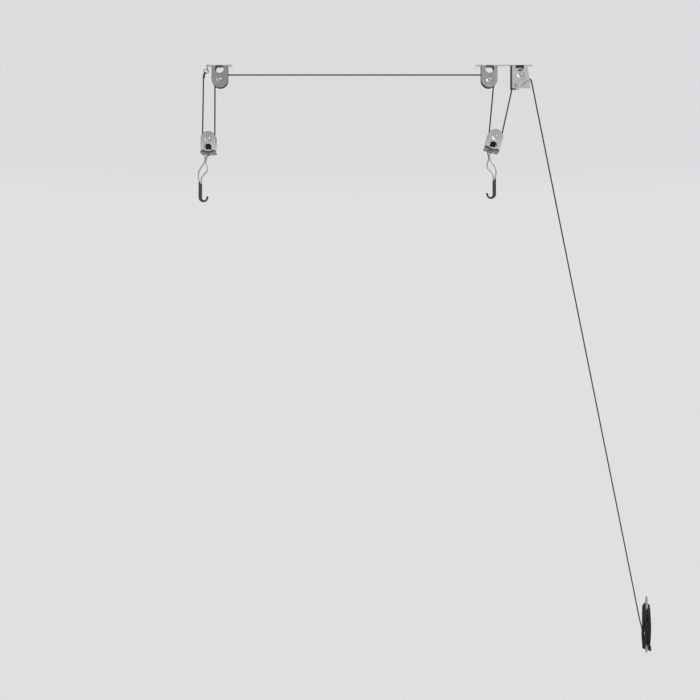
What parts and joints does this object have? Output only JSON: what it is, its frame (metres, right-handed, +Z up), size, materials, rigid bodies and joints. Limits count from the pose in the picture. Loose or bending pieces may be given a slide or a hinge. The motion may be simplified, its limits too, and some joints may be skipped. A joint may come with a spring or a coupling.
{
  "type": "ceiling mounted pulley rack",
  "caption": "Ceiling hoist: pulley brackets, a cam rope brake, lower pulley blocks with paired wire hooks, and one rope led down to a wall cleat.",
  "frame": {"origin": "middle of the left ceiling bracket's top face, above the left pulley axle", "axes": "+Z up; +X along the ceiling from the left bracket to the brake bracket; +Y from the pulleys towards the wall that carries the cleat"},
  "size_m": [1.468, 0.425, 1.872],
  "materials": {
    "bracket_steel": "dull zinc plate, tumbled",
    "light_steel": "zinc plate, satin",
    "cam_steel": "dull zinc plate",
    "bright_zinc": "bright zinc plate",
    "black_steel": "black oxide",
    "black_nylon": "moulded, satin",
    "soft_black": "dipped vinyl",
    "black_rope": "braided cord",
    "cleat_grey": "moulded, light grey"
  },
  "bodies": {
    "frame": {"left_bracket": "bracket_steel", "left_rivet": "bright_zinc", "left_sleeve": "bright_zinc", "anchor_ring": "bright_zinc", "anchor_eye": "black_rope", "right_bracket": "bracket_steel", "right_rivet": "bright_zinc", "right_sleeve": "bright_zinc", "brake_housing": "light_steel", "brake_side_plate": "black_steel", "housing_rivets": "bright_zinc", "brake_rivet": "bright_zinc", "brake_sleeve": "bright_zinc", "cam_pin": "bright_zinc", "cam_spring": "bright_zinc", "left_fall": "black_rope", "left_rise": "black_rope", "left_turn": "black_rope", "top_run": "black_rope", "right_turn": "black_rope", "right_fall": "black_rope", "right_rise": "black_rope", "brake_turn": "black_rope", "tail": "black_rope", "hank": "black_rope", "end_knot": "black_rope", "cleat": "cleat_grey"},
    "left_ceiling_wheel": {"left_pulley": "black_nylon"},
    "right_ceiling_wheel": {"right_pulley": "black_nylon"},
    "brake_wheel": {"brake_pulley": "black_nylon"},
    "cam": {"brake_cam": "cam_steel"},
    "left_axle": {"left_block_sleeve": "bright_zinc", "left_bight": "black_rope"},
    "left_lower_wheel": {"left_block_pulley": "black_nylon"},
    "left_block_body": {"left_block": "light_steel", "left_block_rivet": "bright_zinc", "left_swivel_seat": "bright_zinc", "left_swivel_bolt": "black_steel", "left_swivel_spacer": "bright_zinc", "left_swivel_nut": "bright_zinc"},
    "left_plate_body": {"left_hook_plate": "light_steel"},
    "left_near_hook_body": {"left_near_hook": "bright_zinc", "left_near_grip": "soft_black"},
    "left_far_hook_body": {"left_far_hook": "bright_zinc", "left_far_grip": "soft_black"},
    "right_axle": {"right_block_sleeve": "bright_zinc", "right_bight": "black_rope"},
    "right_lower_wheel": {"right_block_pulley": "black_nylon"},
    "right_block_body": {"right_block": "light_steel", "right_block_rivet": "bright_zinc", "right_swivel_seat": "bright_zinc", "right_swivel_bolt": "black_steel", "right_swivel_spacer": "bright_zinc", "right_swivel_nut": "bright_zinc"},
    "right_plate_body": {"right_hook_plate": "light_steel"},
    "right_near_hook_body": {"right_near_hook": "bright_zinc", "right_near_grip": "soft_black"},
    "right_far_hook_body": {"right_far_hook": "bright_zinc", "right_far_grip": "soft_black"}
  },
  "joints": [
    {"name": "left_hoist", "type": "slide", "parent": "frame", "child": "left_axle", "axis": [0, 0, 1], "range_m": [-0.9, 0.1], "deforming": ["left_fall", "left_rise"]},
    {"name": "right_hoist", "type": "slide", "parent": "frame", "child": "right_axle", "axis": [0, 0, 1], "range_m": [-0.9, 0.1], "deforming": ["right_fall", "right_rise"]},
    {"name": "left_ceiling_spin", "type": "hinge", "parent": "frame", "child": "left_ceiling_wheel", "pos_m": [0, 0, -0.042], "axis": [0, 1, 0], "continuous": true},
    {"name": "right_ceiling_spin", "type": "hinge", "parent": "frame", "child": "right_ceiling_wheel", "pos_m": [0.807, 0, -0.042], "axis": [0, 1, 0], "continuous": true},
    {"name": "brake_spin", "type": "hinge", "parent": "frame", "child": "brake_wheel", "pos_m": [0.9, 0, -0.029], "axis": [0, 1, 0], "continuous": true},
    {"name": "left_lower_spin", "type": "hinge", "parent": "left_axle", "child": "left_lower_wheel", "pos_m": [-0.034, 0, -0.22], "axis": [0, 1, 0], "continuous": true},
    {"name": "right_lower_spin", "type": "hinge", "parent": "right_axle", "child": "right_lower_wheel", "pos_m": [0.825, 0, -0.214], "axis": [0, 1, 0], "continuous": true},
    {"name": "brake_cam_turn", "type": "hinge", "parent": "frame", "child": "cam", "pos_m": [0.893, 0, -0.064], "axis": [0, 1, 0], "range_deg": [-15, 0], "stiffness_Nm_per_rad": 0.05},
    {"name": "left_block_swing", "type": "hinge", "parent": "left_axle", "child": "left_block_body", "pos_m": [-0.034, 0, -0.22], "axis": [0, 1, 0], "range_deg": [-30, 30]},
    {"name": "left_plate_swivel", "type": "hinge", "parent": "left_block_body", "child": "left_plate_body", "pos_m": [-0.034, 0, -0.22], "axis": [0, 0, 1], "continuous": true},
    {"name": "left_near_hook_swivel", "type": "hinge", "parent": "left_plate_body", "child": "left_near_hook_body", "pos_m": [-0.042, -0.018, -0.2632], "axis": [0, 0, 1], "range_deg": [-45, 45]},
    {"name": "left_far_hook_swivel", "type": "hinge", "parent": "left_plate_body", "child": "left_far_hook_body", "pos_m": [-0.042, 0.018, -0.2632], "axis": [0, 0, 1], "range_deg": [-45, 45]},
    {"name": "right_block_swing", "type": "hinge", "parent": "right_axle", "child": "right_block_body", "pos_m": [0.825, 0, -0.214], "axis": [0, 1, 0], "range_deg": [-46, 14]},
    {"name": "right_plate_swivel", "type": "hinge", "parent": "right_block_body", "child": "right_plate_body", "pos_m": [0.825, 0, -0.214], "axis": [0.2756, 0, 0.9613], "continuous": true},
    {"name": "right_near_hook_swivel", "type": "hinge", "parent": "right_plate_body", "child": "right_near_hook_body", "pos_m": [0.80582, -0.018, -0.25338], "axis": [0, 0, 1], "range_deg": [-45, 45]},
    {"name": "right_far_hook_swivel", "type": "hinge", "parent": "right_plate_body", "child": "right_far_hook_body", "pos_m": [0.80582, 0.018, -0.25338], "axis": [0, 0, 1], "range_deg": [-45, 45]}
  ],
  "couplings": [
    {"joint": "right_hoist", "follows": "left_hoist", "ratio": 1},
    {"joint": "left_lower_spin", "follows": "left_hoist", "rad_per_m": -54.054},
    {"joint": "left_ceiling_spin", "follows": "left_hoist", "rad_per_m": 133.33},
    {"joint": "right_ceiling_spin", "follows": "left_hoist", "rad_per_m": 133.33},
    {"joint": "right_lower_spin", "follows": "left_hoist", "rad_per_m": -162.16},
    {"joint": "brake_spin", "follows": "left_hoist", "rad_per_m": 266.67}
  ]
}
